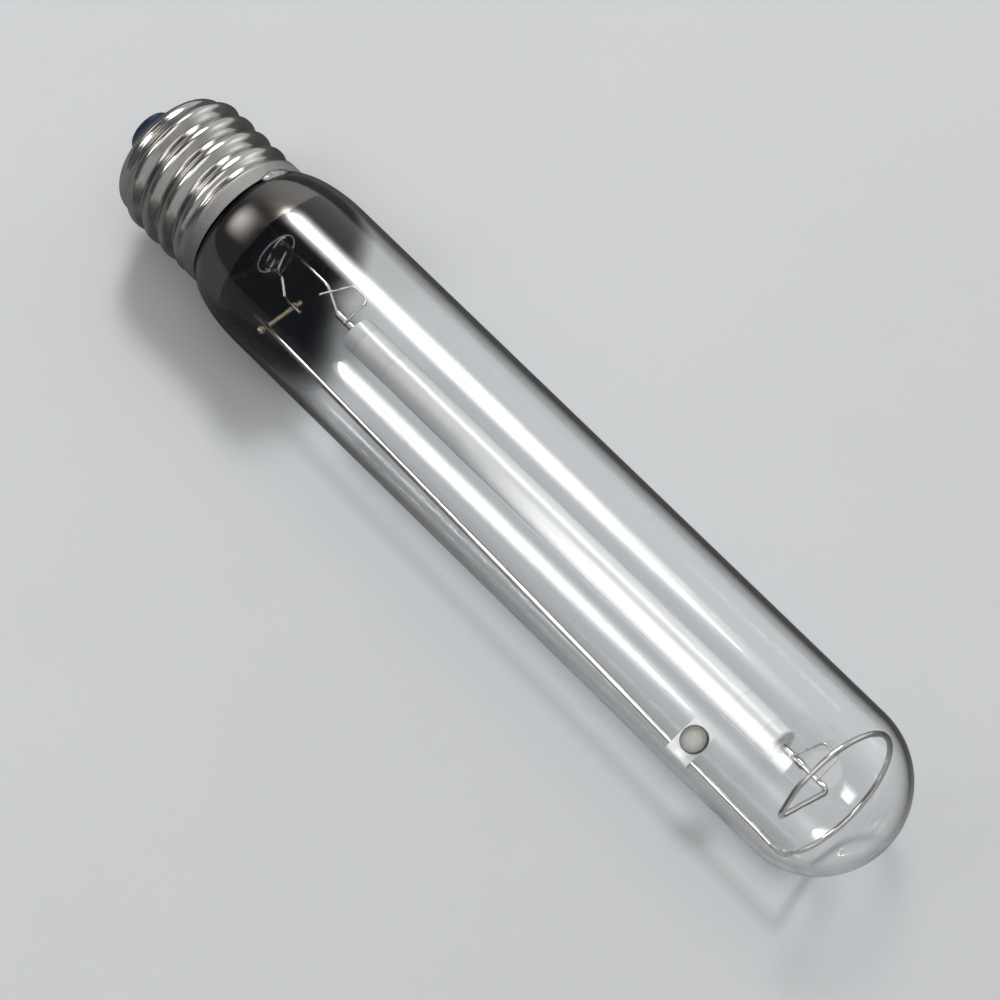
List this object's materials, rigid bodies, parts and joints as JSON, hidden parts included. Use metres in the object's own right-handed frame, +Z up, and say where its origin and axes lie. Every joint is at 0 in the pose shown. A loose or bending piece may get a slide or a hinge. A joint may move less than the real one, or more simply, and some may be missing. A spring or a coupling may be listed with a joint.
{
  "type": "high pressure sodium lamp",
  "caption": "Tubular clear-glass discharge lamp with a ceramic arc tube on a bent wire frame, a getter, and a large rolled-thread screw base for lighting.",
  "frame": {"origin": "floor point under the middle of the lamp, which lies on its glass tube", "axes": "+X along the lamp's axis from the screw base to the dome, +Z up"},
  "size_m": [0.286, 0.047, 0.047],
  "materials": {
    "bulb_glass": "clear, polished",
    "stem_glass": "clear, pressed",
    "base_metal": "nickel plated, rolled thread, satin skirt",
    "insulator_glass": "dark, glossy",
    "contact_metal": "plated, worn",
    "solder": "cast, dull",
    "cement": "baked, rough",
    "lead_metal": "drawn, bright",
    "frame_metal": "drawn, nickel plated",
    "bar_metal": "drawn, warm tint",
    "niobium": "drawn, matte",
    "arc_ceramic": "translucent alumina, satin",
    "plug_ceramic": "sintered alumina",
    "seal_frit": "fused, satin",
    "tungsten": "drawn, dark",
    "amalgam": "bright pellet",
    "getter_metal": "bright sheet",
    "getter_powder": "pressed powder, matte"
  },
  "bodies": {
    "root": {"amalgam_pellet": "amalgam", "arc_lead_wire": "lead_metal", "arc_tube": "arc_ceramic", "base_electrode_coil": "tungsten", "base_electrode_rod": "tungsten", "base_end_plug": "plug_ceramic", "base_insulator": "insulator_glass", "base_jumper_wire": "lead_metal", "base_niobium_tube": "niobium", "base_seal_ring": "seal_frit", "base_shell": "base_metal", "basing_cement": "cement", "contact_lead_wire": "lead_metal", "contact_plate": "contact_metal", "contact_solder": "solder", "cross_bar": "bar_metal", "dome_electrode_coil": "tungsten", "dome_electrode_rod": "tungsten", "dome_end_plug": "plug_ceramic", "dome_jumper_wire": "lead_metal", "dome_niobium_tube": "niobium", "dome_seal_ring": "seal_frit", "frame_lead_wire": "lead_metal", "frame_wire": "frame_metal", "getter_pill": "getter_powder", "getter_plate": "getter_metal", "outer_bulb": "bulb_glass", "rim_lead_wire": "lead_metal", "rim_solder": "solder", "stem": "stem_glass"}
  },
  "joints": []
}
